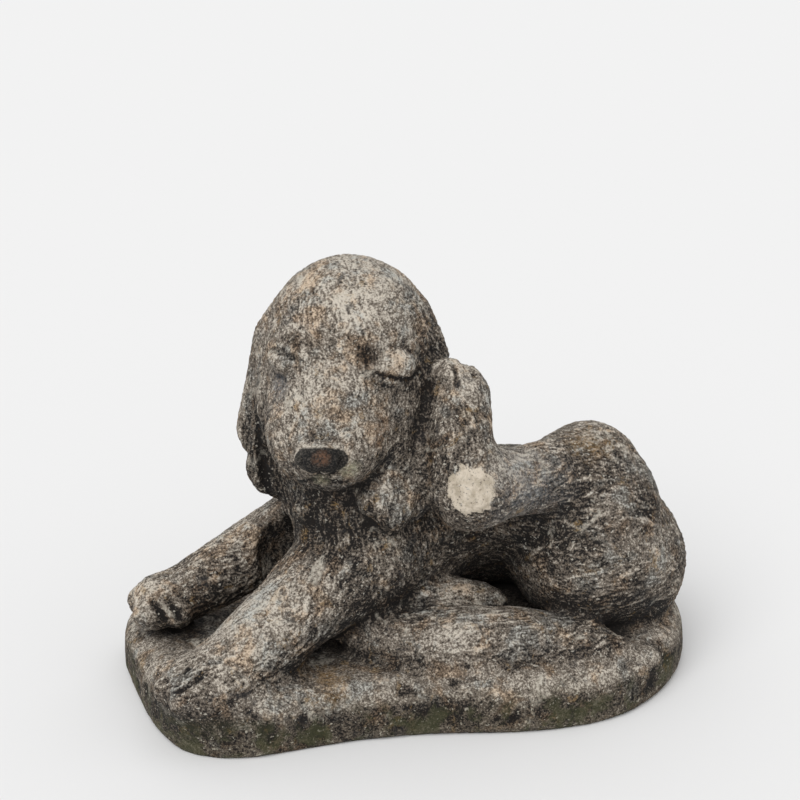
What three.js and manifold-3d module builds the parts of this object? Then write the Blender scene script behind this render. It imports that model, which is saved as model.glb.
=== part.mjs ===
// A garden statue in cast stone: a spaniel puppy lies on an oval plinth and scratches its ear with a hind foot.
// Lengths are in millimetres, +Z is up, +X runs along the plinth, and the dog looks towards -Y.
import * as THREE from 'three';
import { edgeTable, triTable } from 'three/addons/objects/MarchingCubes.js';
import { mergeVertices } from 'three/addons/utils/BufferGeometryUtils.js';
import Module from 'manifold-3d';

// Driving sizes
const figureHeight = 300; // from the plinth's top to the crown of the head
const plinthLength = 444;
const plinthDepth = 244;
const plinthHeight = 46;
const plinthEdge = 20; // radius of the worn upper edge
const plinthFoot = 7; // radius of the worn lower edge
const bedFillet = 7; // where the dog lies on the plinth
const pawFillet = 22; // where the near foreleg runs out into the plinth
const soleCut = 1.5; // taken off the underside to make it flat
const cell = 4; // edge of the cubes that the surface is found in
const facets = 9600; // triangles that the found surface is thinned to

// The figure is laid out in parts, of which it stands 300 tall.
const part = figureHeight / 300;

const { abs, ceil, floor, max, min, sqrt } = Math;
const length3 = (x, y, z) => sqrt(x * x + y * y + z * z);
const radians = (degrees) => (degrees * Math.PI) / 180;
const mix = (a, b, t) => a + (b - a) * t;

// A form is a function of a point that gives its distance to a surface, below zero inside it.

// The smaller of two distances, with the crease between them filled: the larger the fillet, the softer it is.
function softMin(a, b, fillet) {
  const h = max(fillet - abs(a - b), 0);
  return min(a, b) - (h * h) / (4 * fillet);
}

function join(fillet, ...forms) {
  return (x, y, z) => {
    let d = forms[0](x, y, z);
    for (let i = 1; i < forms.length; i++) d = softMin(d, forms[i](x, y, z), fillet);
    return d;
  };
}

function carve(fillet, form, ...cutters) {
  return (x, y, z) => {
    let d = form(x, y, z);
    for (const cutter of cutters) d = -softMin(-d, cutter(x, y, z), fillet);
    return d;
  };
}

// A form moved to `place` and turned by angles in degrees about X, then Y, then Z.
function posed(form, place, turn = [0, 0, 0]) {
  const [px, py, pz] = place;
  const euler = new THREE.Euler(...turn.map(radians), 'ZYX');
  const m = new THREE.Matrix4().makeRotationFromEuler(euler).transpose().elements;
  return (x, y, z) => {
    const dx = x - px;
    const dy = y - py;
    const dz = z - pz;
    return form(
      m[0] * dx + m[4] * dy + m[8] * dz,
      m[1] * dx + m[5] * dy + m[9] * dz,
      m[2] * dx + m[6] * dy + m[10] * dz,
    );
  };
}

function egg(centre, [rx, ry, rz], turn) {
  const least = min(rx, ry, rz);
  const round = (x, y, z) => {
    const share = length3(x / rx, y / ry, z / rz);
    const slope = length3(x / (rx * rx), y / (ry * ry), z / (rz * rz));
    return slope > 1e-9 ? (share * (share - 1)) / slope : -least;
  };
  return posed(round, centre, turn);
}

// A rounded limb that runs smoothly through points [x, y, z, radius].
function limb(points, steps = 4) {
  const curve = new THREE.CatmullRomCurve3(points.map(([x, y, z]) => new THREE.Vector3(x, y, z)));
  const count = (points.length - 1) * steps;
  const rings = new Float64Array(4 * (count + 1));
  for (let i = 0; i <= count; i++) {
    const k = min(floor(i / steps), points.length - 2);
    const t = i / steps - k;
    const p = curve.getPoint(i / count);
    rings.set([p.x, p.y, p.z, mix(points[k][3], points[k + 1][3], t * t * (3 - 2 * t))], 4 * i);
  }
  return (x, y, z) => {
    let nearest = Infinity;
    for (let i = 0; i < 4 * count; i += 4) {
      const dx = rings[i + 4] - rings[i];
      const dy = rings[i + 5] - rings[i + 1];
      const dz = rings[i + 6] - rings[i + 2];
      const px = x - rings[i];
      const py = y - rings[i + 1];
      const pz = z - rings[i + 2];
      const t = min(max((px * dx + py * dy + pz * dz) / (dx * dx + dy * dy + dz * dz), 0), 1);
      const d = length3(px - dx * t, py - dy * t, pz - dz * t) - mix(rings[i + 3], rings[i + 7], t);
      if (d < nearest) nearest = d;
    }
    return nearest;
  };
}

// A form pressed flat along one axis through `centre`, to a share of its thickness.
function pressed(form, centre, axis, share) {
  const n = new THREE.Vector3(...axis).normalize();
  const more = 1 / share - 1;
  const shrink = sqrt(share);
  return (x, y, z) => {
    const out = ((x - centre[0]) * n.x + (y - centre[1]) * n.y + (z - centre[2]) * n.z) * more;
    return form(x + n.x * out, y + n.y * out, z + n.z * out) * shrink;
  };
}

// HEAD, in its own frame: the skull's centre at the origin, the nose towards -Y, the dog's left at +X
function headForm() {
  const skull = egg([3, 0, 0], [62, 62, 62]);
  const cheeks = egg([2, -32, -32], [57, 45, 42]);
  const muzzle = egg([-2, -64, -38], [47, 45, 40]);
  const bridge = egg([0, -57, -8], [27, 30, 28]);
  const nose = egg([0, -105, -26], [17, 12, 13]);
  const chin = egg([-2, -78, -68], [18, 15, 10]);
  const leftLid = egg([42, -39, 6], [20, 13, 12], [0, 0, 35]);
  const rightLid = egg([-33, -44, 10], [18, 11, 11], [0, 0, -30]);
  const face = join(18, skull, cheeks, muzzle, bridge);
  return join(4, face, nose, chin, leftLid, rightLid);
}
const head = posed(headForm(), [-47, -8, 238], [18, 0, -23]);

// EARS: the far one hangs free as a flap, the near one in locks between the cheek and the scratching foot
const farEar = join(
  4,
  pressed(
    limb([
      [-92, 4, 244, 18],
      [-102, 6, 226, 24],
      [-106, 8, 191, 25],
      [-110, 8, 158, 26],
      [-107, 6, 133, 22],
      [-101, 4, 120, 14],
    ]),
    [-104, 6, 190],
    [1, 0.2, 0],
    0.45,
  ),
  limb([
    [-96, 14, 236, 10],
    [-108, 16, 200, 11],
    [-118, 12, 162, 11],
    [-115, 10, 146, 8],
  ]),
  limb([
    [-104, -8, 215, 8],
    [-109, -10, 180, 9],
    [-116, -6, 140, 9],
    [-110, -2, 122, 9],
  ]),
);
const nearEar = join(
  3,
  limb([
    [2, -8, 254, 16],
    [9, -14, 244, 14],
    [17, -22, 226, 12],
    [14, -38, 212, 11],
  ]),
  limb([
    [0, -44, 219, 9],
    [-15, -57, 190, 10],
    [-22, -65, 159, 12],
    [-38, -72, 132, 14],
  ]),
  limb([
    [12, -38, 216, 9],
    [-3, -52, 178, 10],
    [-9, -62, 149, 13],
    [-25, -71, 122, 15],
  ]),
  limb([
    [16, -34, 198, 9],
    [7, -46, 165, 10],
    [3, -57, 140, 10],
    [-8, -62, 122, 13],
  ]),
);

// BODY
const chest = limb([
  [-48, 2, 205, 50],
  [-46, -4, 160, 55],
  [-42, -6, 118, 56],
  [-34, -6, 75, 52],
  [-26, 0, 30, 54],
]);
const chestLocks = [
  [[-86, -38, 116, 9], [-76, -42, 84, 7]],
  [[-68, -52, 114, 10], [-60, -54, 78, 7]],
  [[-50, -58, 112, 10], [-42, -57, 80, 7]],
  [[-30, -58, 110, 9], [-24, -55, 84, 7]],
].map((lock) => limb(lock));
const nape = limb([
  [-42, 12, 200, 46],
  [-18, 30, 140, 52],
  [10, 40, 84, 52],
]);
const torso = limb([
  [-25, 14, 70, 56],
  [40, 36, 58, 54],
  [92, 38, 58, 56],
  [150, 12, 50, 58],
]);
const flank = limb([
  [0, -8, 92, 38],
  [60, -4, 90, 36],
  [110, -14, 90, 42],
]);
const farShoulder = egg([-48, 30, 68], [44, 32, 46]);
const rump = egg([170, -14, 36], [54, 60, 58]);
const thigh = limb([
  [142, -26, 52, 64],
  [142, -24, 82, 57],
  [141, -16, 112, 43],
]);

// RAISED HIND LEG
const shin = limb([
  [128, -28, 116, 38],
  [104, -42, 126, 29],
  [72, -58, 131, 26],
  [34, -74, 137, 29],
]);
const hindFoot = join(
  3,
  limb([
    [33, -75, 137, 29],
    [27, -66, 172, 25],
    [30, -51, 200, 24],
  ]),
  egg([21, -50, 219], [14, 15, 14]),
  egg([36, -49, 211], [13, 14, 14]),
  egg([42, -38, 199], [12, 14, 13]),
);

// FORELEGS
const farForeleg = join(
  3,
  limb([
    [-86, 30, 62, 31],
    [-140, 18, 41, 26],
    [-172, 13, 27, 23],
    [-193, 10, 25, 21],
  ]),
  egg([-200, -4, 20], [16, 11, 14]),
  egg([-180, -8, 20], [13, 10, 12]),
  egg([-202, 22, 20], [16, 12, 14]),
);
const nearLeg = [
  [-40, -34, 72, 44],
  [-76, -50, 54, 37],
  [-108, -66, 36, 30],
  [-142, -80, 16, 27],
  [-165, -88, 2, 24],
];
const nearPaw = egg([-166, -88, 4], [34, 32, 17], [0, 0, 16]);
const nearForeleg = join(12, limb(nearLeg), nearPaw);
const toes = [
  egg([-184, -106, 4], [17, 9, 12], [0, 0, 30]),
  egg([-192, -90, 5], [17, 9, 13], [0, 0, 12]),
  egg([-190, -72, 5], [17, 9, 12], [0, 0, -6]),
];
const pocket = egg([-88, -4, 56], [27, 24, 40], [0, -20, 0]); // between the forelegs, under the chest

// TAIL AND THE OTHER HIND FOOT
const tail = limb([
  [152, -96, 4, 6],
  [114, -88, 5, 21],
  [64, -80, 5, 30],
  [20, -74, 6, 31],
  [-24, -61, 9, 24],
  [-64, -50, 13, 7],
]);
const restingFoot = join(
  6,
  egg([20, -40, 26], [54, 20, 20], [0, 4, -4]),
  egg([-24, -40, 30], [20, 12, 10], [0, 8, 0]),
);

const trunk = join(30, chest, nape, torso, flank);
const back = carve(6, join(14, trunk, farShoulder, farForeleg, nearForeleg), pocket);
const dog = join(
  6,
  join(9, join(20, back, rump), thigh),
  join(5, head, ...chestLocks),
  farEar,
  nearEar,
  join(14, shin, hindFoot),
  join(5, tail, restingFoot),
);
const dogPlace = [-2 * part, 8 * part]; // where the dog's own origin stands on the plinth

// PLINTH
function plinthForm() {
  const outline = new THREE.CatmullRomCurve3(
    [
      [-1, 0.36], [-0.975, -0.1], [-0.94, -0.5], [-0.85, -0.81], [-0.68, -0.94], [-0.5, -0.92], [-0.25, -0.88],
      [0.03, -0.92], [0.3, -1], [0.53, -0.99], [0.72, -0.85], [0.87, -0.6], [0.97, -0.3], [1, 0], [0.95, 0.42],
      [0.76, 0.78], [0.42, 0.96], [0, 1], [-0.42, 0.97], [-0.76, 0.84], [-0.94, 0.64],
    ].map(([x, y]) => new THREE.Vector3((x * plinthLength) / 2, (y * plinthDepth) / 2, 0)),
    true,
  ).getPoints(80);
  const fromOutline = (x, y) => {
    let nearest = Infinity;
    let inside = false;
    for (let i = 0; i < outline.length - 1; i++) {
      const a = outline[i];
      const b = outline[i + 1];
      const dx = b.x - a.x;
      const dy = b.y - a.y;
      const px = x - a.x;
      const py = y - a.y;
      const t = min(max((px * dx + py * dy) / (dx * dx + dy * dy), 0), 1);
      nearest = min(nearest, (px - dx * t) ** 2 + (py - dy * t) ** 2);
      if (a.y > y !== b.y > y && x < a.x + (dx * (y - a.y)) / dy) inside = !inside;
    }
    return inside ? -sqrt(nearest) : sqrt(nearest);
  };
  return (x, y, z) => {
    const out = fromOutline(x, y);
    const edge = min(z > plinthHeight / 2 ? plinthEdge : plinthFoot, 0.48 * plinthHeight);
    const up = abs(z - plinthHeight / 2) - plinthHeight / 2;
    return min(max(out, up) + edge, 0) + length3(max(out + edge, 0), max(up + edge, 0), 0) - edge;
  };
}
const plinth = plinthForm();

const lying = (form) => (x, y, z) =>
  form((x - dogPlace[0]) / part, (y - dogPlace[1]) / part, (z - plinthHeight) / part) * part;
const lowerLeg = lying(join(5, join(12, limb(nearLeg.slice(2)), nearPaw), ...toes));
const statue = join(bedFillet, join(pawFillet, plinth, lowerLeg), lying(dog));

// SURFACE: where a form is zero, as a closed mesh found by marching cubes
function surfaceOf(form, low, high) {
  const [nx, ny, nz] = [0, 1, 2].map((n) => ceil((high[n] - low[n]) / cell) + 1);
  const layer = nx * ny;
  const value = new Float32Array(layer * nz);
  const at = (i, j, k) => form(low[0] + i * cell, low[1] + j * cell, low[2] + k * cell);

  // A block of cubes that lies far from the surface takes the value in its middle.
  const block = 4;
  const far = 1.1 * block * cell;
  for (let k = 0; k < nz; k += block) {
    for (let j = 0; j < ny; j += block) {
      for (let i = 0; i < nx; i += block) {
        const middle = at(i + block / 2, j + block / 2, k + block / 2);
        for (let c = k; c < min(k + block, nz); c++) {
          for (let b = j; b < min(j + block, ny); b++) {
            for (let a = i; a < min(i + block, nx); a++) {
              value[a + nx * b + layer * c] = abs(middle) < far ? at(a, b, c) : middle;
            }
          }
        }
      }
    }
  }

  const corners = [0, 1, 1 + nx, nx, layer, 1 + layer, 1 + nx + layer, nx + layer];
  const edges = [
    [0, 1], [1, 2], [2, 3], [3, 0],
    [4, 5], [5, 6], [6, 7], [7, 4],
    [0, 4], [1, 5], [2, 6], [3, 7],
  ];
  const placeOf = (n) => [n % nx, floor(n / nx) % ny, floor(n / layer)];
  const points = [];
  const faces = [];
  const made = new Map();
  const pointOn = (cube, edge) => {
    const [a, b] = edges[edge].map((corner) => cube + corners[corner]).sort((p, q) => p - q);
    const key = 4 * a + [1, nx, layer].indexOf(b - a);
    if (!made.has(key)) {
      const t = min(max(value[a] / (value[a] - value[b]), 0.02), 0.98);
      const [from, to] = [placeOf(a), placeOf(b)];
      made.set(key, points.length);
      points.push(low.map((start, n) => start + cell * mix(from[n], to[n], t)));
    }
    return made.get(key);
  };
  for (let k = 0; k < nz - 1; k++) {
    for (let j = 0; j < ny - 1; j++) {
      for (let i = 0; i < nx - 1; i++) {
        const cube = i + nx * j + layer * k;
        let kind = 0;
        for (let c = 0; c < 8; c++) if (value[cube + corners[c]] < 0) kind |= 1 << c;
        if (edgeTable[kind] === 0) continue;
        for (let n = 16 * kind; triTable[n] !== -1; n += 3) {
          faces.push([2, 1, 0].map((m) => pointOn(cube, triTable[n + m])));
        }
      }
    }
  }
  return { points, faces };
}

// THINNING: edges are merged into points, those that matter least first, judged by error quadrics.
function thinned(mesh, wanted) {
  const count = mesh.faces.length;
  const place = new Float64Array(mesh.points.flat());
  const face = new Int32Array(mesh.faces.flat());
  const around = mesh.points.map(() => []); // the faces at each vertex
  const quadric = new Float64Array(10 * mesh.points.length);

  // The corners and normal of face f, with vertex `moved` put at `spot`. The last number is twice its area.
  const corner = new Float64Array(9);
  const normal = new Float64Array(4);
  const readFace = (f, moved = -1, spot = null) => {
    for (let n = 0; n < 9; n++) {
      const v = face[3 * f + floor(n / 3)];
      corner[n] = v === moved ? spot[n % 3] : place[3 * v + (n % 3)];
    }
    const [ax, ay, az, bx, by, bz, cx, cy, cz] = corner;
    const x = (by - ay) * (cz - az) - (bz - az) * (cy - ay);
    const y = (bz - az) * (cx - ax) - (bx - ax) * (cz - az);
    const z = (bx - ax) * (cy - ay) - (by - ay) * (cx - ax);
    const size = length3(x, y, z) + 1e-12;
    normal.set([x / size, y / size, z / size, size]);
  };

  for (let f = 0; f < count; f++) {
    readFace(f);
    const [x, y, z, size] = normal;
    const w = -(x * corner[0] + y * corner[1] + z * corner[2]);
    const own = [x * x, x * y, x * z, x * w, y * y, y * z, y * w, z * z, z * w, w * w];
    for (let n = 0; n < 3; n++) {
      const v = face[3 * f + n];
      around[v].push(f);
      for (let i = 0; i < 10; i++) quadric[10 * v + i] += own[i] * size;
    }
  }

  // The point that vertices a and b are best merged at goes into `best`, and its error is returned.
  const best = new Float64Array(3);
  const q = new Float64Array(10);
  const merge = (a, b) => {
    for (let i = 0; i < 10; i++) q[i] = quadric[10 * a + i] + quadric[10 * b + i];
    const xx = q[4] * q[7] - q[5] * q[5];
    const xy = q[2] * q[5] - q[1] * q[7];
    const xz = q[1] * q[5] - q[2] * q[4];
    const yy = q[0] * q[7] - q[2] * q[2];
    const yz = q[1] * q[2] - q[0] * q[5];
    const zz = q[0] * q[4] - q[1] * q[1];
    const det = q[0] * xx + q[1] * xy + q[2] * xz;
    best[0] = -(xx * q[3] + xy * q[6] + xz * q[8]) / det;
    best[1] = -(xy * q[3] + yy * q[6] + yz * q[8]) / det;
    best[2] = -(xz * q[3] + yz * q[6] + zz * q[8]) / det;
    let away = 0;
    let span = 0;
    for (let i = 0; i < 3; i++) {
      away += (best[i] - mix(place[3 * a + i], place[3 * b + i], 0.5)) ** 2;
      span += (place[3 * a + i] - place[3 * b + i]) ** 2;
    }
    const sound = det > 1e-3 * (q[0] + q[4] + q[7]) ** 3 && away < span;
    if (!sound) for (let i = 0; i < 3; i++) best[i] = mix(place[3 * a + i], place[3 * b + i], 0.5);
    const [x, y, z] = best;
    const squares = q[0] * x * x + q[4] * y * y + q[7] * z * z + q[9];
    const products = q[1] * x * y + q[2] * x * z + q[5] * y * z + q[3] * x + q[6] * y + q[8] * z;
    return squares + 2 * products;
  };

  // Whether moving vertex v to `best` would turn one of its faces over or leave it a sliver.
  // The faces that also hold `other` go, so they don't count.
  const leastTurn = 0.3; // cosine of the angle between a face's old and new normals
  const leastHeight = 0.06; // of a face, as a share of its longest side
  const spoils = (v, other) => {
    for (const f of around[v]) {
      if (face.subarray(3 * f, 3 * f + 3).includes(other)) continue;
      readFace(f);
      const [x, y, z] = normal;
      readFace(f, v, best);
      if (x * normal[0] + y * normal[1] + z * normal[2] < leastTurn) return true;
      let longest = 0;
      for (let n = 0; n < 9; n += 3) {
        const m = (n + 3) % 9;
        const [x, y, z] = [0, 1, 2].map((i) => corner[n + i] - corner[m + i]);
        longest = max(longest, length3(x, y, z));
      }
      if (normal[3] < leastHeight * longest * longest) return true;
    }
    return false;
  };

  // The number of vertices next to both a and b. An edge may only be merged if there are two.
  const shared = (a, b) => {
    const near = new Set();
    const both = new Set();
    for (const f of around[a]) {
      for (let n = 0; n < 3; n++) near.add(face[3 * f + n]);
    }
    for (const f of around[b]) {
      for (let n = 0; n < 3; n++) if (near.has(face[3 * f + n])) both.add(face[3 * f + n]);
    }
    return both.size - 2;
  };

  const gone = new Uint8Array(count);
  let left = count;
  for (let limit = 0.05; left > wanted; limit *= 1.3) {
    const touched = new Uint8Array(count);
    for (let f = 0; f < count && left > wanted; f++) {
      for (let n = 0; n < 3 && !gone[f] && !touched[f]; n++) {
        const a = face[3 * f + n];
        const b = face[3 * f + ((n + 1) % 3)];
        if (merge(a, b) > limit || shared(a, b) !== 2 || spoils(a, b) || spoils(b, a)) continue;
        place.set(best, 3 * a);
        quadric.set(q, 10 * a);
        for (const g of around[b]) {
          const held = face.subarray(3 * g, 3 * g + 3);
          if (held.includes(a)) {
            gone[g] = 1;
            left--;
            for (const v of held) if (v !== b) around[v] = around[v].filter((h) => h !== g);
          } else {
            held[held.indexOf(b)] = a;
            around[a].push(g);
          }
        }
        around[b] = [];
        for (const g of around[a]) touched[g] = 1;
      }
    }
  }

  const points = [];
  const faces = [];
  const kept = new Map();
  for (let f = 0; f < count; f++) {
    if (gone[f]) continue;
    const held = Array.from(face.subarray(3 * f, 3 * f + 3));
    for (const v of held) {
      if (kept.has(v)) continue;
      kept.set(v, points.length);
      points.push(Array.from(place.subarray(3 * v, 3 * v + 3)));
    }
    faces.push(held.map((v) => kept.get(v)));
  }
  return { points, faces };
}

const wasm = await Module();
wasm.setup();

function solidOf(points, faces) {
  const mesh = new wasm.Mesh({
    numProp: 3,
    vertProperties: new Float32Array(points),
    triVerts: new Uint32Array(faces),
  });
  return new wasm.Manifold(mesh);
}

// STATUE, with its underside taken off flat
const margin = 5 * cell;
const halfLength = max(plinthLength / 2, 225 * part) + margin;
const halfDepth = max(plinthDepth / 2, 120 * part) + margin;
const low = [-halfLength, -halfDepth, -margin];
const high = [halfLength, halfDepth, plinthHeight + figureHeight + margin];
const skin = thinned(surfaceOf(statue, low, high), facets);
const under = new THREE.BoxGeometry(3 * halfLength, 3 * halfDepth, 2 * margin);
under.translate(0, 0, soleCut - margin);
under.deleteAttribute('normal');
under.deleteAttribute('uv');
const block = mergeVertices(under);
const cut = solidOf(skin.points.flat(), skin.faces.flat())
  .subtract(solidOf(block.attributes.position.array, block.index.array))
  .getMesh();

const geometry = new THREE.BufferGeometry();
geometry.setAttribute('position', new THREE.BufferAttribute(new Float32Array(cut.vertProperties), 3));
geometry.setIndex(new THREE.BufferAttribute(new Uint32Array(cut.triVerts), 1));
geometry.computeBoundingBox();
const middle = geometry.boundingBox.getCenter(new THREE.Vector3());
geometry.translate(-middle.x, -middle.y, -soleCut); // the origin is the middle of the underside
geometry.computeVertexNormals();

const castStone = new THREE.MeshStandardMaterial({ color: 0x6e675e, roughness: 0.95, metalness: 0 });
const mesh = new THREE.Mesh(geometry, castStone);
mesh.name = 'dog_statue';

const group = new THREE.Group();
group.add(mesh);
export default group;
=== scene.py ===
# A weathered cast-stone statue of a spaniel puppy that lies on an oval plinth and scratches its ear.
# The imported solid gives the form. Here it gets its carved fur, its worn grain and its aged stone finish.
import math

import bmesh
import bpy
import numpy as np
from mathutils import Matrix, Vector
from mathutils.bvhtree import BVHTree
from mathutils.kdtree import KDTree


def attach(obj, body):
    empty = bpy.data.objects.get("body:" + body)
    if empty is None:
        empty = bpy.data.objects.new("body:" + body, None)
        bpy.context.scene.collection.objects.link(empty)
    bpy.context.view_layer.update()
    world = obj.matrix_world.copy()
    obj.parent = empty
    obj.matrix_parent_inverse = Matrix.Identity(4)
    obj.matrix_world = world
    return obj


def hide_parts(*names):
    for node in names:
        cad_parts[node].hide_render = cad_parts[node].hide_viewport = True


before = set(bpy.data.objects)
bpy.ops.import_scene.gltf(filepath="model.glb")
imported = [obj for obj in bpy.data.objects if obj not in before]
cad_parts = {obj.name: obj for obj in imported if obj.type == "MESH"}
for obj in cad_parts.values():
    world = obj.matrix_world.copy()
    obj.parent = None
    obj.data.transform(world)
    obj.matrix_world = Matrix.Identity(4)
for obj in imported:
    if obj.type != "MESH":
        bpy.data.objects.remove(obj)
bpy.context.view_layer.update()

NODE = "dog_statue"

# Sizes and places are in millimetres on the statue. MM turns them into metres.
MM = 0.001
PLINTH_TOP = 46

# The fine mesh that the relief is cut into
MESH_GRAIN = 1.45
MERGE = 0.02  # corners closer than this are one
WEAR_ROUNDS = 14  # rounds of smoothing that melt the solid's facets
TRIANGLES = 196_000

# Carved lines: path, half width, depth. A depth below zero is a raised line.
CARVED_LINES = {
    "near lid": ([(-36, -62, 286), (-27, -62, 286), (-18, -60, 284), (-9, -54, 279)], 6.0, -1.9),
    "near lid's edge": (
        [(-42, -62, 278), (-31, -64, 275), (-21, -63, 271), (-10, -53, 267), (-2, -46, 271)],
        1.8,
        1.8,
    ),
    "near lid's fold": ([(-38, -61, 290), (-26, -59, 295), (-13, -54, 291), (-3, -47, 281)], 2.4, 1.0),
    "near eye's inner corner": ([(-40, -61, 284), (-45, -60, 292), (-50, -59, 300)], 7.0, 1.4),
    "far lid": ([(-106, -24, 275), (-98, -42, 279)], 5.5, -1.3),
    "far lid's fold": ([(-111, -14, 283), (-102, -34, 288), (-92, -45, 284)], 2.0, 1.5),
    "far lid's edge": ([(-108, -22, 266), (-99, -41, 270)], 1.8, 1.2),
    "far eye's inner corner": ([(-98, -36, 297), (-90, -44, 301)], 6.5, 1.3),
    "nose pad": ([(-97, -89, 226), (-84, -96, 229), (-71, -92, 224)], 7.0, -2.4),
    "far nostril": ([(-99, -89, 229), (-98, -90, 222)], 2.6, 3.4),
    "near nostril": ([(-70, -92, 228), (-70, -92, 220)], 2.6, 3.4),
    "under the nose": ([(-98, -87, 218), (-89, -88, 213), (-78, -88, 212), (-69, -88, 215)], 2.2, 2.0),
    "cleft of the lip": ([(-86, -96, 220), (-84, -84, 207)], 1.8, 1.8),
    "far side of the mouth": ([(-84, -84, 207), (-97, -62, 199), (-108, -30, 196)], 1.8, 1.5),
    "near side of the mouth": ([(-84, -84, 207), (-66, -80, 202), (-46, -66, 206)], 1.8, 1.5),
    "far ear's front edge": ([(-118, 1, 238), (-118, -9, 212), (-113, -6, 186), (-111, -3, 160)], 2.6, 3.0),
    "raised foot's first cleft": ([(22, -50, 276), (23, -55, 268), (23, -60, 260)], 2.0, 1.9),
    "raised foot's second cleft": ([(37, -46, 266), (36, -52, 262), (34, -60, 254)], 2.0, 1.8),
    "far paw's first cleft": ([(-203, 1, 80), (-197, -4, 71), (-192, -8, 62)], 2.2, 2.2),
    "far paw's second cleft": ([(-189, -1, 80), (-184, -8, 70), (-180, -12, 60)], 2.2, 2.0),
    "far paw's third cleft": ([(-212, 14, 70), (-206, 16, 78), (-196, 16, 82)], 2.0, 1.6),
    "near paw's first cleft": ([(-203, -88, 58), (-195, -91, 64), (-180, -88, 68)], 2.2, 1.9),
    "near paw's second cleft": ([(-196, -104, 56), (-186, -103, 62), (-172, -96, 68)], 2.2, 1.9),
    "near ear's middle lock": ([(3, -68, 262), (-8, -74, 226), (-14, -84, 196), (-32, -88, 168)], 2.0, 2.3),
    "near ear's back lock": ([(8, -60, 255), (1, -68, 226), (-4, -80, 195), (-20, -88, 166)], 1.8, 1.9),
    "near ear's front lock": (
        [(-4, -66, 250), (-20, -78, 214), (-26, -84, 190), (-42, -88, 172)],
        1.8,
        2.0,
    ),
    "far ear's outer lock": ([(-121, 0, 262), (-124, -4, 232), (-124, -6, 205), (-122, -6, 178)], 1.9, 1.8),
    "far ear's inner lock": (
        [(-114, -6, 262), (-120, -12, 236), (-121, -14, 210), (-119, -14, 184)],
        1.7,
        1.6,
    ),
}

# The lie of the coat: place, reach, direction, then length, pitch and depth of the strokes
COAT = {
    "crown": ((-50, -10, 335), 42, (0.1, 0.8, 0.5), 7, 3.0, 0.65),
    "muzzle": ((-70, -62, 250), 30, (-0.2, 0.5, 0.85), 6, 2.8, 0.50),
    "far cheek": ((-98, -20, 250), 30, (0.1, 0.5, -0.85), 7, 3.0, 0.60),
    "far ear": ((-118, 8, 200), 36, (0.0, 0.0, -1.0), 15, 3.6, 0.95),
    "near ear": ((-8, -70, 205), 34, (-0.35, -0.1, -0.93), 16, 3.6, 1.0),
    "nape": ((-30, 55, 260), 60, (0.2, 0.3, -0.9), 12, 3.8, 0.8),
    "chest": ((-75, -55, 140), 44, (0.1, 0.0, -1.0), 15, 3.7, 1.0),
    "near flank": ((0, -40, 120), 30, (0.2, 0.0, -1.0), 12, 3.6, 0.95),
    "raised foot": ((26, -70, 235), 34, (0.05, 0.1, -1.0), 10, 3.6, 0.75),
    "raised shin": ((60, -80, 180), 34, (0.9, 0.15, 0.0), 10, 3.8, 0.75),
    "near thigh": ((118, -50, 170), 36, (0.9, 0.1, 0.15), 12, 4.0, 1.1),
    "near haunch": ((140, -80, 120), 44, (1.0, 0.1, -0.12), 14, 4.2, 1.35),
    "rump": ((200, -40, 110), 44, (0.5, 0.5, -0.45), 13, 4.2, 1.2),
    "loin": ((150, 10, 190), 40, (0.9, 0.4, 0.05), 10, 4.0, 0.85),
    "near foreleg": ((-80, -72, 100), 44, (-0.72, -0.3, -0.6), 9, 3.6, 0.85),
    "near paw": ((-160, -90, 62), 30, (-0.9, -0.2, -0.3), 8, 3.5, 0.7),
    "far foreleg": ((-150, 20, 92), 40, (-0.9, -0.1, -0.3), 9, 3.6, 0.8),
    "tail": ((30, -95, 58), 60, (1.0, 0.0, 0.1), 13, 3.8, 0.9),
    "tail's root": ((110, -95, 60), 40, (1.0, 0.1, 0.1), 13, 3.8, 0.95),
    "resting foot": ((30, -40, 84), 30, (1.0, 0.0, 0.0), 11, 3.6, 0.7),
    "back": ((20, 90, 110), 70, (0.7, 0.0, -0.7), 11, 4.4, 0.8),
    "far haunch": ((150, 80, 100), 60, (0.8, -0.2, -0.5), 11, 4.4, 0.85),
    "far shoulder": ((-70, 60, 110), 50, (0.2, 0.1, -0.95), 12, 4.2, 0.85),
}
STROKE_SPACING = 3.1
STROKES_KEPT = 0.62  # of the places for a stroke
STROKE_REACH = 4  # up or down from the surface at the stroke's middle
TURN = 0.6  # radians that the strokes wander from the lie of the coat
TURN_SIZE = 14  # of the patches that wander one way
TURN_STRAY = 0.15  # radians that each stroke strays from its neighbours
BEND = 0.05  # millimetres sideways at a millimetre from the middle, growing with the square
BEND_SIZE = 10
BEND_STRAY = 0.012

# The nose pad, which has no fur, and the worn hock, which has little
NOSE_PAD = [(-95, -90, 226), (-89, -93, 227), (-84, -95, 227), (-79, -94, 226), (-73, -92, 224)]
NOSE_REACH = 11
HOCK = (25, -95, 193)
HOCK_REACH = 14

# Hollows are found with rays of this length, this many from each point of the solid
HOLLOW_REACH = 45
HOLLOW_RAYS = 40
HOLLOW_LIFT = 0.8  # from the surface to where the rays start
HOLLOW_NEIGHBOURS = 5  # points of the solid that shade one point of the fine mesh

# Creases are found against the surface smoothed in this many rounds
CREASE_ROUNDS = 24

# What makes the stone light, or dark where it is below zero. The upward share is painted light on what
# faces up; the cut, hollow, wall and crease shares are painted shade in the grooves, in hollows, on the
# plinth's sides and in creases.
TONE = {
    "crumb": 2.0,
    "grain": 1.0,
    "patch": 0.95,
    "broad": 0.60,
    "upward": 0.30,
    "cut": -0.50,
    "hollow": -0.55,
    "wall": -0.21,
    "plinth": -0.20,
    "crease": -0.07,
}
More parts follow.
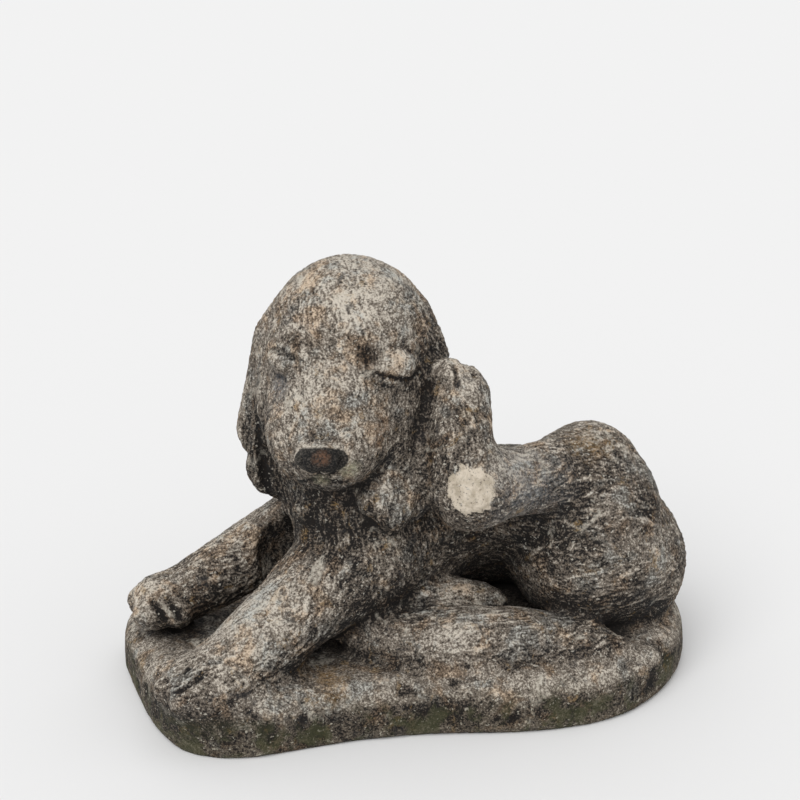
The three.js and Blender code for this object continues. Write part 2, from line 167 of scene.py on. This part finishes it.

# Where the stone is made lighter or, below zero, darker: place, reach, shift of the tone. The chest's
# darkening, under the chin, is painted shade.
TONE_SHIFTS = {
    # Painted shade on the chest under the chin
    "chest": ((-81, -42, 155), 45, -0.22),
    "near ear": ((-21, -72, 184), 26, 0.30),
    "raised foot": ((25, -63, 256), 24, 0.10),
    "raised shin": ((75, -75, 184), 32, 0.26),
    "top of the haunch": ((128, -37, 195), 26, -0.06),
    "rump": ((190, -59, 102), 34, 0.28),
    "near paw": ((-161, -93, 74), 24, 0.08),
    "crown": ((-50, -10, 335), 36, 0.05),
    "muzzle": ((-76, -84, 248), 22, 0.12),
    "resting foot": ((15, -42, 87), 20, 0.28),
    "near foreleg": ((-108, -84, 97), 34, 0.18),
    "far foreleg": ((-164, 1, 86), 34, -0.22),
    "far brow": ((-91, -37, 305), 10, 0.34),
    "forehead": ((-54, -47, 322), 11, 0.26),
    "near lid": ((-20, -58, 284), 13, 0.42),
    "tail": ((27, -92, 69), 30, 0.14),
    "front of the plinth": ((-54, -92, 43), 60, -0.10),
    "left end of the plinth": ((-193, -109, 45), 50, -0.14),
}

# Colours, as shares of red, green and blue light
# The darkest stone, for pits and for painted shade
PIT_AND_SHADE_BLACK = (0.012, 0.010, 0.009)
STONE_BROWN = (0.130, 0.107, 0.085)
CRUMB_CREAM = (0.58, 0.525, 0.445)
BROWN_WASH = (1.0, 0.77, 0.56)
SLATE_WASH = (0.80, 0.93, 1.05)
OCHRE_VEIL = (0.29, 0.185, 0.075)
OCHRE = (0.33, 0.20, 0.075)
RUST = (0.26, 0.15, 0.08)
SLATE = (0.20, 0.215, 0.23)
DARK_SLATE = (0.17, 0.185, 0.205)
CRUST_BLACK = (0.026, 0.025, 0.026)
LICHEN = (0.52, 0.48, 0.405)
LICHEN_SPECK = (0.60, 0.56, 0.48)
DAMP_WASH = (0.62, 0.60, 0.52)
ALGAE = (0.060, 0.062, 0.028)
WORN_STONE = (0.46, 0.395, 0.305)
WORN_STONE_PALE = (0.64, 0.56, 0.455)
LIP_GREEN = (0.30, 0.30, 0.20)
NOSE_BLACK = (0.007, 0.007, 0.007)
NOSE_GREY = (0.062, 0.054, 0.046)
NOSE_RUST = (0.21, 0.11, 0.065)
PAINTED_EYE_SOCKET_SHADE = (0.30, 0.22, 0.15)
# Painted shade: near-black for the hollows and the creases
PAINTED_HOLLOW_SHADE = (0.018, 0.015, 0.013)
PAINTED_CREASE_SHADE = (0.014, 0.012, 0.010)

STAINS = {
    "top of the haunch": ((130, -37, 199), 15, OCHRE),
    "front of the plinth": ((-78, -87, 44), 15, OCHRE),
    "near cheek": ((-40, -70, 236), 10, RUST),
    "raised shin": ((75, -75, 184), 34, SLATE),
    "far cheek": ((-104, -36, 262), 12, DARK_SLATE),
}
NOSE_TIP = (-85, -101, 232)
LIPS = [(-62, -88, 214), (-84, -84, 203)]
# Inner corners of the eyes, where painted shade darkens the sockets
EYE_CORNERS = [(-43, -61, 290), (-95, -38, 298), (-80, -48, 300)]

# The stage and the photograph's camera
FLOOR_SIZE = 60  # metres
FLOOR_GREY = (0.80, 0.80, 0.80)
SKY_STRENGTH = 0.72
KEY_STRENGTH = 1.6
KEY_SPREAD = 50  # degrees
KEY_FROM = (-0.45, -0.6, 0.9)
CAMERA_PLACE = (-312.5, -1453.0, 851.0)
CAMERA_AIM = (-0.4, 34.5, 213.8)
CAMERA_FOCUS = 2133  # pixels
PICTURE_WIDTH = 800  # pixels
FILM_WIDTH = 36


# Meshes as arrays of places in millimetres
def places(mesh):
    co = np.empty(3 * len(mesh.vertices), np.float32)
    mesh.vertices.foreach_get("co", co)
    return co.reshape(-1, 3) / MM


def normals(mesh):
    out = np.empty(3 * len(mesh.vertices), np.float32)
    mesh.vertex_normals.foreach_get("vector", out)
    return out.reshape(-1, 3)


def move_to(mesh, points):
    mesh.vertices.foreach_set("co", (points * MM).astype(np.float32).ravel())
    mesh.update()


def store(mesh, name, values):
    layer = mesh.attributes.new(name, "FLOAT", "POINT")
    layer.data.foreach_set("value", values.astype(np.float32))


def unit(vectors):
    return vectors / (np.linalg.norm(vectors, axis=-1, keepdims=True) + 1e-9)


def distance_to_point(points, centre):
    return np.linalg.norm(points - np.array(centre), axis=1)


def step(x, low, high):
    """0 below low, 1 above high, and a smooth rise between them."""
    t = np.clip((x - low) / (high - low), 0, 1)
    return t * t * (3 - 2 * t)


def noise(points, size, seed):
    """Smooth noise from -1 to 1 whose bumps are about `size` across."""
    side = 32
    middle = 100  # the cell at the statue's origin, counted round and round the table
    table = np.random.default_rng(seed).uniform(-1, 1, (side, side, side)).astype(np.float32)
    p = points / size + middle
    cell = np.floor(p).astype(np.int32)
    t = p - cell
    t = t * t * (3 - 2 * t)
    out = np.zeros(len(points), np.float32)
    for corner in range(8):
        bits = np.array([corner & 1, corner >> 1 & 1, corner >> 2 & 1])
        share = np.prod(np.where(bits, t, 1 - t), axis=1)
        i, j, k = ((cell + bits) % side).T
        out += share * table[i, j, k]
    return out


def spline(path, stretches=4):
    """A curve through the path's points, as short straight stretches between each two of them."""
    path = np.array(path, float)
    ends = np.vstack([2 * path[0] - path[1], path, 2 * path[-1] - path[-2]])
    t = np.linspace(0, 1, stretches + 1)[:, None]
    curve = [path[:1]]
    for a, b, c, d in zip(ends, ends[1:], ends[2:], ends[3:]):
        bend = 2 * b + (c - a) * t + (2 * a - 5 * b + 4 * c - d) * t**2 + (3 * b - a - 3 * c + d) * t**3
        curve.append(bend[1:] / 2)
    return np.vstack(curve)


def distance_to_path(points, path):
    """How far each point is from the curve through the path, and how far along the curve, from 0 to 1."""
    curve = spline(path)
    nearest = np.full(len(points), np.inf)
    along = np.zeros(len(points))
    for n, (a, b) in enumerate(zip(curve, curve[1:])):
        run = b - a
        share = np.clip((points - a) @ run / (run @ run), 0, 1)
        away = np.linalg.norm(points - a - share[:, None] * run, axis=1)
        closer = away < nearest
        nearest[closer] = away[closer]
        along[closer] = (n + share[closer]) / (len(curve) - 1)
    return nearest, along


# The piece and its mesh
def merged_mesh(node):
    """A copy of a CAD node's mesh with its loose triangles joined."""
    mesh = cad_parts[node].data.copy()
    bm = bmesh.new()
    bm.from_mesh(mesh)
    bmesh.ops.remove_doubles(bm, verts=bm.verts, dist=MERGE * MM)
    bm.to_mesh(mesh)
    bm.free()
    return mesh


def apply_modifiers(piece):
    bpy.context.view_layer.update()
    made = bpy.data.meshes.new_from_object(piece.evaluated_get(bpy.context.evaluated_depsgraph_get()))
    piece.modifiers.clear()
    piece.data = made


def rounded_copy(node, name):
    """A new piece in the form of a CAD node, finely meshed, with the solid's facets worn away."""
    piece = bpy.data.objects.new(name, merged_mesh(node))
    bpy.context.scene.collection.objects.link(piece)
    remesh = piece.modifiers.new("fine", "REMESH")
    remesh.mode = "VOXEL"
    remesh.voxel_size = MESH_GRAIN * MM
    remesh.use_smooth_shade = True
    wear = piece.modifiers.new("worn", "SMOOTH")
    wear.factor = 0.5
    wear.iterations = WEAR_ROUNDS
    apply_modifiers(piece)
    return piece


def thin_out(piece):
    thin = piece.modifiers.new("thin", "DECIMATE")
    thin.ratio = TRIANGLES / sum(len(p.vertices) - 2 for p in piece.data.polygons)
    apply_modifiers(piece)


# Carving
def carved_lines(points):
    """How far the lines sink each point. They run out at both ends, and have a low lip on either side."""
    sunk = np.zeros(len(points))
    for path, width, depth in CARVED_LINES.values():
        low = np.min(path, axis=0) - 4 * width
        high = np.max(path, axis=0) + 4 * width
        near = np.flatnonzero(np.all((points > low) & (points < high), axis=1))
        away, along = distance_to_path(points[near], path)
        fade = step(along, 0, 0.15) * (1 - step(along, 0.8, 1))
        groove = np.exp(-((away / width) ** 2))
        lip = 0.35 * np.exp(-(((away - 2.2 * width) / width) ** 2))
        sunk[near] += depth * (groove - lip) * (0.25 + 0.75 * fade)
    return sunk


def combed(points):
    """The lie of the coat at each point: direction, then length, pitch and depth of the strokes."""
    faint = 1e-6  # what each part of the coat still counts far away from it
    total = np.zeros((len(points), 6))
    weight = np.zeros(len(points))
    for centre, reach, way, length, pitch, depth in COAT.values():
        away = distance_to_point(points, centre)
        share = np.exp(-((away / reach) ** 2)) + faint / (1 + away)
        total += share[:, None] * np.array([*unit(np.array(way)), length, pitch, depth])
        weight += share
    total /= weight[:, None]
    return unit(total[:, :3]), total[:, 3], total[:, 4], total[:, 5]


def stroke_places(points, rng):
    """One point in each small cube of space that the surface passes through, with some left out."""
    cube = np.floor(points / STROKE_SPACING + rng.uniform(0, 1, 3)).astype(np.int64)
    number = cube @ np.array([1, 1000, 1000000])
    order = rng.permutation(len(points))
    _, first = np.unique(number[order], return_index=True)
    chosen = order[first]
    return chosen[rng.uniform(0, 1, len(chosen)) < STROKES_KEPT]


def fur_strokes(points, out, rng):
    """How far short curved strokes, laid side by side all over the statue, sink each point."""
    tree = KDTree(len(points))
    for n, p in enumerate(points):
        tree.insert(p, n)
    tree.balance()
    middles = stroke_places(points, rng)
    way, length, pitch, depth = combed(points[middles])
    turn = TURN * noise(points[middles], TURN_SIZE, seed=5)
    turn = turn + TURN_STRAY * rng.normal(0, 1, len(middles))
    bend = BEND * noise(points[middles], BEND_SIZE, seed=6)
    bend = bend + BEND_STRAY * rng.normal(0, 1, len(middles))
    sunk = np.zeros(len(points))
    for n, middle in enumerate(middles):
        normal = out[middle]
        along = way[n] - normal * (way[n] @ normal)
        along = along / (np.linalg.norm(along) + 1e-6)
        across = np.cross(normal, along)
        along = along * math.cos(turn[n]) + across * math.sin(turn[n])
        across = np.cross(normal, along)
        half_length = 0.42 * length[n] * (0.7 + 0.6 * rng.random())
        half_width = 0.25 * pitch[n]
        near = np.array([i for _, i, _ in tree.find_range(points[middle], half_length + 1)])
        offset = points[near] - points[middle]
        a = offset @ along
        b = offset @ across + bend[n] * a * a
        c = offset @ normal
        taper = np.sqrt(np.clip(1 - (a / half_length) ** 2, 0, 1))
        cut = depth[n] * taper * np.exp(-((b / half_width) ** 2)) * (np.abs(c) < STROKE_REACH)
        sunk[near] = np.maximum(sunk[near], cut)
    return sunk


def coat_cover(points):
    """1 where there is fur, less on the nose pad, the worn hock and the plinth."""
    from_nose, _ = distance_to_path(points, NOSE_PAD)
    from_hock = distance_to_point(points, HOCK)
    cover = step(points[:, 2], PLINTH_TOP + 1, PLINTH_TOP + 7)
    cover *= step(from_nose, NOSE_REACH, NOSE_REACH + 6)
    cover *= 0.25 + 0.75 * step(from_hock, HOCK_REACH, HOCK_REACH + 5)
    return cover


def carve_statue():
    statue = rounded_copy(NODE, "carved_dog_statue")
    mesh = statue.data
    points = places(mesh)
    rng = np.random.default_rng(7)

    line = carved_lines(points)
    points = points - normals(mesh) * line[:, None]
    move_to(mesh, points)
    out = normals(mesh)

    cover = coat_cover(points)
    fur = fur_strokes(points, out, rng) * cover
    fur *= 1 + 0.5 * noise(points, 30, seed=11)

    # Weather: soft lumps, grain and pits, and on bare stone also chips and a slow swell
    bare = 1 - cover
    lumps = 0.55 * noise(points, 22, seed=21) + 0.30 * noise(points, 9, seed=22)
    grain = 0.16 * noise(points, 3.6, seed=23) + 0.12 * noise(points, 2.2, seed=24)
    pits = 0.7 * step(noise(points, 5.2, seed=25), 0.45, 0.8)
    pits = pits + 0.5 * step(noise(points, 3.4, seed=26), 0.5, 0.8)
    chips = bare * 1.6 * step(noise(points, 13, seed=27), 0.35, 0.8) * step(points[:, 2], 4, 16)
    swell = bare * noise(points, 34, seed=28)
    rise = -fur + lumps + grain - (0.45 + 0.55 * bare) * pits - chips + swell

    # The underside stays flat
    above = step(points[:, 2], 0.5, 6)
    points = points + out * (rise * above)[:, None]
    points[:, 2] = np.where(points[:, 2] < 0.6, 0, points[:, 2])
    move_to(mesh, points)

    # How deeply each point is cut; the stone's colour darkens there as painted shade in the grooves
    store(mesh, "cut", np.clip((fur + 0.6 * line.clip(0) + 0.5 * pits + 0.4 * chips) / 0.9, 0, 1.4))
    # How much each point faces up: it lightens the tops as painted light, guides the lichen and marks the
    # plinth's sides for painted shade
    store(mesh, "upward", step(out[:, 2], -0.5, 1.0))
    thin_out(statue)
    return statue


# Hollows and creases, for the painted shade in the stone's colour
def creases(mesh, rounds):
    """How far each vertex lies below the surface smoothed over a few millimetres, in millimetres."""
    ends = np.empty(2 * len(mesh.edges), np.int32)
    mesh.edges.foreach_get("vertices", ends)
    a, b = ends.reshape(-1, 2).T
    total = len(mesh.vertices)
    neighbours = np.bincount(ends, minlength=total)
    points = places(mesh)
    smooth = points.copy()
    for _ in range(rounds):
        for axis in range(3):
            line = smooth[:, axis]
            around = np.bincount(a, line[b], total) + np.bincount(b, line[a], total)
            smooth[:, axis] = 0.5 * line + 0.5 * around / neighbours
    return np.sum((smooth - points) * normals(mesh), axis=1)


def dome(count):
    """Directions spread evenly over the half sphere round +Z."""
    rays = []
    for n in range(count):
        z = (n + 0.5) / count
        angle = n * math.pi * (3 - math.sqrt(5))
        r = math.sqrt(1 - z * z)
        rays.append(Vector((r * math.cos(angle), r * math.sin(angle), z)))
    return rays


def occlusion(mesh):
    """How far each vertex lies in a hollow: the share of rays round its normal that the statue stops."""
    tree = BVHTree.FromPolygons([v.co for v in mesh.vertices], [p.vertices for p in mesh.polygons])
    rays = dome(HOLLOW_RAYS)
    reach = HOLLOW_REACH * MM
    hidden = np.zeros(len(mesh.vertices))
    for n, v in enumerate(mesh.vertices):
        turn = v.normal.to_track_quat("Z", "Y")
        start = v.co + v.normal * HOLLOW_LIFT * MM
        for ray in rays:
            _, _, _, far = tree.ray_cast(start, turn @ ray, reach)
            if far is not None:
                hidden[n] += (1 - far / reach) / len(rays)
    return hidden


def hollows(mesh):
    """How deep in a hollow each vertex lies, measured on the solid and carried over."""
    solid = merged_mesh(NODE)
    hidden = occlusion(solid)
    tree = KDTree(len(solid.vertices))
    for v in solid.vertices:
        tree.insert(v.co, v.index)
    tree.balance()
    bpy.data.meshes.remove(solid)
    hollow = np.zeros(len(mesh.vertices))
    for n, v in enumerate(mesh.vertices):
        found = tree.find_n(v.co, HOLLOW_NEIGHBOURS)
        share = [1 / (away + MM) ** 2 for _, _, away in found]
        hollow[n] = sum(hidden[i] * s for (_, i, _), s in zip(found, share)) / sum(share)
    return hollow


# Materials
class Socket:
    """A shader value. Arithmetic on it adds the Math nodes that work it out."""

    def __init__(self, maker, link):
        self.maker = maker
        self.link = link

    def math(self, operation, a, b):
        return self.maker.node("ShaderNodeMath", {"operation": operation}, {0: a, 1: b})

    def __add__(self, other):
        return self.math("ADD", self, other)

    def __radd__(self, other):
        return self.math("ADD", other, self)

    def __sub__(self, other):
        return self.math("SUBTRACT", self, other)

    def __rsub__(self, other):
        return self.math("SUBTRACT", other, self)

    def __mul__(self, other):
        return self.math("MULTIPLY", self, other)

    def __rmul__(self, other):
        return self.math("MULTIPLY", other, self)

    def rise(self, low, high):
        """0 where the value is below low, 1 above high, smooth between."""
        return self.maker.node(
            "ShaderNodeMapRange",
            {"interpolation_type": "SMOOTHSTEP"},
            {"Value": self, "From Min": low, "From Max": high},
        )


class Finish:
    """One material and the nodes in it."""

    NOISE_STEP = (0.31, 0.17, 0.23)  # metres from one noise to the next

    def __init__(self, name):
        self.material = bpy.data.materials.new(name)
        self.material.use_nodes = True
        self.tree = self.material.node_tree
        self.shader = next(n for n in self.tree.nodes if n.type == "BSDF_PRINCIPLED")
        self.place = self.node("ShaderNodeTexCoord", {}, {}, "Object")

    def put(self, socket, value):
        """Links a shader value to a socket, or sets the socket to a number, a place or a colour."""
        if isinstance(value, Socket):
            self.tree.links.new(value.link, socket)
        elif socket.type == "RGBA":
            socket.default_value = (*value, 1)
        else:
            socket.default_value = value

    def shade(self, name, value):
        self.put(self.shader.inputs[name], value)

    def node(self, kind, settings, values, output=0):
        made = self.tree.nodes.new(kind)
        for name, setting in settings.items():
            setattr(made, name, setting)
        for name, value in values.items():
            self.put(made.inputs[name], value)
        return Socket(self, made.outputs[output])

    def noise(self, size, detail, rough, seed, warp=0):
        """Noise round 0.5 whose patches are about `size` millimetres across."""
        shift = tuple(seed * s for s in self.NOISE_STEP)
        vector = self.node("ShaderNodeVectorMath", {"operation": "ADD"}, {0: self.place, 1: shift})
        values = {"Vector": vector, "Scale": 1 / (size * MM), "Detail": detail, "Roughness": rough}
        return self.node("ShaderNodeTexNoise", {}, {**values, "Distortion": warp})

    def stored(self, name):
        return self.node("ShaderNodeAttribute", {"attribute_name": name}, {}, "Fac")

    def mix(self, share, a, b, blend="MIX"):
        """Colour b over colour a by a share. The numbers are the node's sockets for colours."""
        settings = {"data_type": "RGBA", "blend_type": blend, "clamp_factor": True}
        return self.node("ShaderNodeMix", settings, {0: share, 6: a, 7: b}, 2)

    def near(self, centre, reach, edge, ragged=0):
        """1 within `reach` of a place, fading over `edge`. `ragged` moves the outline in and out."""
        spot = tuple(c * MM for c in centre)
        ends = {0: self.place, 1: spot}
        away = self.node("ShaderNodeVectorMath", {"operation": "DISTANCE"}, ends, "Value")
        return 1 - (away + ragged).rise(reach * MM, (reach + edge) * MM)


class AgedCastStone(Finish):
    """Grey-brown cast stone that has stood outdoors for decades."""

    def __init__(self):
        super().__init__("aged_cast_stone")
        self.height = self.node("ShaderNodeSeparateXYZ", {}, {0: self.place}, "Z")
        self.cut = self.stored("cut")
        self.hollow = self.stored("hollow")
        self.upward = self.stored("upward")
        self.crease = self.stored("crease")
        self.crumb = self.noise(1.5, 2, 0.7, seed=1)
        self.grain = self.noise(2.6, 3, 0.7, seed=2)
        self.patch = self.noise(9, 5, 0.7, seed=3, warp=0.5)
        self.broad = self.noise(45, 4, 0.6, seed=4, warp=0.3)
        self.speck = self.noise(3.0, 2, 0.5, seed=10).rise(0.645, 0.70)
        self.plinth = 1 - self.height.rise(PLINTH_TOP * MM, (PLINTH_TOP + 10) * MM)
        below_top = 1 - self.height.rise((PLINTH_TOP - 16) * MM, PLINTH_TOP * MM)
        # Painted shade on the plinth's sides, which face away from the light above
        self.wall = below_top * (1 - self.upward.rise(0.35, 0.8))
        self.ragged = 70 * MM * (self.noise(14, 4, 0.7, seed=14) - 0.5)
        self.rough_edge = 5 * MM * self.noise(8, 4, 0.7, seed=12)

        stone = self.bare()
        stone = self.stained(stone)
        stone = self.overgrown(stone)
        stone = self.damp_at_foot(stone)
        stone = self.marked(stone)
        stone = self.painted_shade_in_hollows(stone)
        self.shade("Base Color", stone)
        self.shade("Roughness", 0.80 + 0.15 * self.grain)
        self.shade("Specular IOR Level", 0.25)
        self.shade("Normal", self.relief())

    def bare(self):
        """From black pits and painted shade through brown to cream crumbs, with painted light on what faces
        up.
        """
        tone = sum(getattr(self, name) * share for name, share in TONE.items())
        for centre, reach, shift in TONE_SHIFTS.values():
            tone = tone + self.near(centre, 0, 1.6 * reach, self.ragged) * shift
        stone = self.mix(tone.rise(1.74, 2.18), PIT_AND_SHADE_BLACK, STONE_BROWN)
        return self.mix(tone.rise(2.14, 2.87), stone, CRUMB_CREAM)

    def stained(self, stone):
        brown = self.noise(20, 4, 0.6, seed=5, warp=0.4).rise(0.50, 0.64)
        stone = self.mix(brown * 0.55, stone, BROWN_WASH, "MULTIPLY")
        slate = self.noise(26, 4, 0.65, seed=6, warp=0.5).rise(0.52, 0.64)
        stone = self.mix(slate * 0.6, stone, SLATE_WASH, "MULTIPLY")
        ochre = self.noise(13, 4, 0.65, seed=7, warp=0.4).rise(0.60, 0.70) * self.crumb.rise(0.35, 0.6)
        stone = self.mix(ochre * 0.55, stone, OCHRE_VEIL)
        for centre, reach, colour in STAINS.values():
            spot = self.near(centre, 0, 1.6 * reach, self.ragged) * self.grain.rise(0.32, 0.58)
            stone = self.mix(spot * 0.42, stone, colour)
        return stone

    def overgrown(self, stone):
        """Black crusts, pale lichen on what faces up, and lichen specks outside the hollows."""
        crust = self.noise(17, 6, 0.7, seed=8, warp=0.6).rise(0.575, 0.66)
        stone = self.mix(crust * 0.62, stone, CRUST_BLACK)
        pale = self.noise(24, 5, 0.65, seed=9, warp=0.5).rise(0.58, 0.68) * self.grain.rise(0.34, 0.56)
        stone = self.mix(pale * (0.25 + 0.6 * self.upward), stone, LICHEN)
        return self.mix(self.speck * (0.65 - 1.3 * self.hollow), stone, LICHEN_SPECK)

    def damp_at_foot(self, stone):
        damp = 1 - (self.height + 20 * MM * self.broad).rise(22 * MM, 52 * MM)
        stone = self.mix(damp * 0.55, stone, DAMP_WASH, "MULTIPLY")
        algae = damp * self.noise(22, 4, 0.65, seed=11, warp=0.4).rise(0.46, 0.60)
        return self.mix(algae * 0.6, stone, ALGAE)

    def marked(self, stone):
        """The worn hock, greenish lips, dark nose with a rusty tip, and painted shade in the inner corners
        of the eyes.
        """
        edge = self.rough_edge
        worn = self.mix(self.patch.rise(0.4, 0.6), WORN_STONE, WORN_STONE_PALE)
        hock = self.near(HOCK, HOCK_REACH + 13, 1.6, 4 * edge)
        hock = hock * self.noise(2.4, 3, 0.7, seed=13).rise(0.32, 0.47)
        stone = self.mix(hock * 0.9, stone, worn)
        for lip in LIPS:
            green = self.near(lip, 5, 9, edge) * self.grain.rise(0.36, 0.55)
            stone = self.mix(green * 0.55, stone, LIP_GREEN)
        pad = self.mix(self.crumb.rise(0.45, 0.68), NOSE_BLACK, NOSE_GREY)
        for spot in NOSE_PAD:
            stone = self.mix(self.near(spot, NOSE_REACH - 1, 2, 0.5 * edge) * 0.95, stone, pad)
        tip = self.near(NOSE_TIP, 6, 7, edge) * self.grain.rise(0.34, 0.56)
        stone = self.mix(tip * 0.62, stone, NOSE_RUST)
        # Painted shade in the inner corners of the eye sockets
        for corner in EYE_CORNERS:
            stone = self.mix(self.near(corner, 5, 9, edge) * 0.55, stone, PAINTED_EYE_SOCKET_SHADE, "MULTIPLY")
        return stone

    def painted_shade_in_hollows(self, stone):
        # Painted shade: the stone darkens towards black in hollows and in creases
        stone = self.mix(self.hollow.rise(0.32, 0.74) * 0.7, stone, PAINTED_HOLLOW_SHADE)
        return self.mix(self.crease.rise(1.1, 3.3) * 0.8, stone, PAINTED_CREASE_SHADE)

    def relief(self):
        """Grain too fine for the mesh."""
        height = self.crumb * 0.8 + self.grain + self.speck * 0.2
        values = {"Height": height, "Strength": 0.8, "Distance": 1.2 * MM}
        return self.node("ShaderNodeBump", {}, values, "Normal")


# Stage
def facing(direction):
    """The turn that points an object's +Z, the back of a lamp or camera, along a direction."""
    return Vector(direction).to_track_quat("Z", "Y").to_matrix().to_4x4()


def lay_floor():
    bpy.ops.mesh.primitive_plane_add(size=FLOOR_SIZE)
    floor = bpy.context.object
    floor.name = "floor"
    paint = Finish("floor_paint")
    paint.shade("Base Color", FLOOR_GREY)
    paint.shade("Roughness", 0.9)
    paint.shade("Specular IOR Level", 0)
    floor.data.materials.append(paint.material)


def light_studio():
    world = bpy.data.worlds.new("studio")
    world.use_nodes = True
    sky = world.node_tree.nodes["Background"]
    sky.inputs["Color"].default_value = (1, 1, 1, 1)
    sky.inputs["Strength"].default_value = SKY_STRENGTH
    bpy.context.scene.world = world
    key = bpy.data.lights.new("key", "SUN")
    key.energy = KEY_STRENGTH
    key.angle = math.radians(KEY_SPREAD)
    lamp = bpy.data.objects.new("key", key)
    lamp.matrix_world = facing(KEY_FROM)
    bpy.context.scene.collection.objects.link(lamp)


def set_camera():
    camera = bpy.data.cameras.new("camera")
    camera.sensor_width = FILM_WIDTH
    camera.lens = FILM_WIDTH * CAMERA_FOCUS / PICTURE_WIDTH
    stand = bpy.data.objects.new("camera", camera)
    spot = Vector(CAMERA_PLACE) * MM
    aim = Vector(CAMERA_AIM) * MM
    stand.matrix_world = Matrix.Translation(spot) @ facing(spot - aim)
    bpy.context.scene.collection.objects.link(stand)
    bpy.context.scene.camera = stand
    bpy.context.scene.view_settings.view_transform = "Standard"


statue = carve_statue()
# Creases and hollows of the carved statue, stored for the painted shade in its colour
store(statue.data, "crease", np.clip(creases(statue.data, CREASE_ROUNDS), -3, 6))
store(statue.data, "hollow", hollows(statue.data))
statue.data.materials.clear()
statue.data.materials.append(AgedCastStone().material)
statue.data.shade_smooth()
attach(statue, "root")
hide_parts(NODE)
lay_floor()
light_studio()
set_camera()
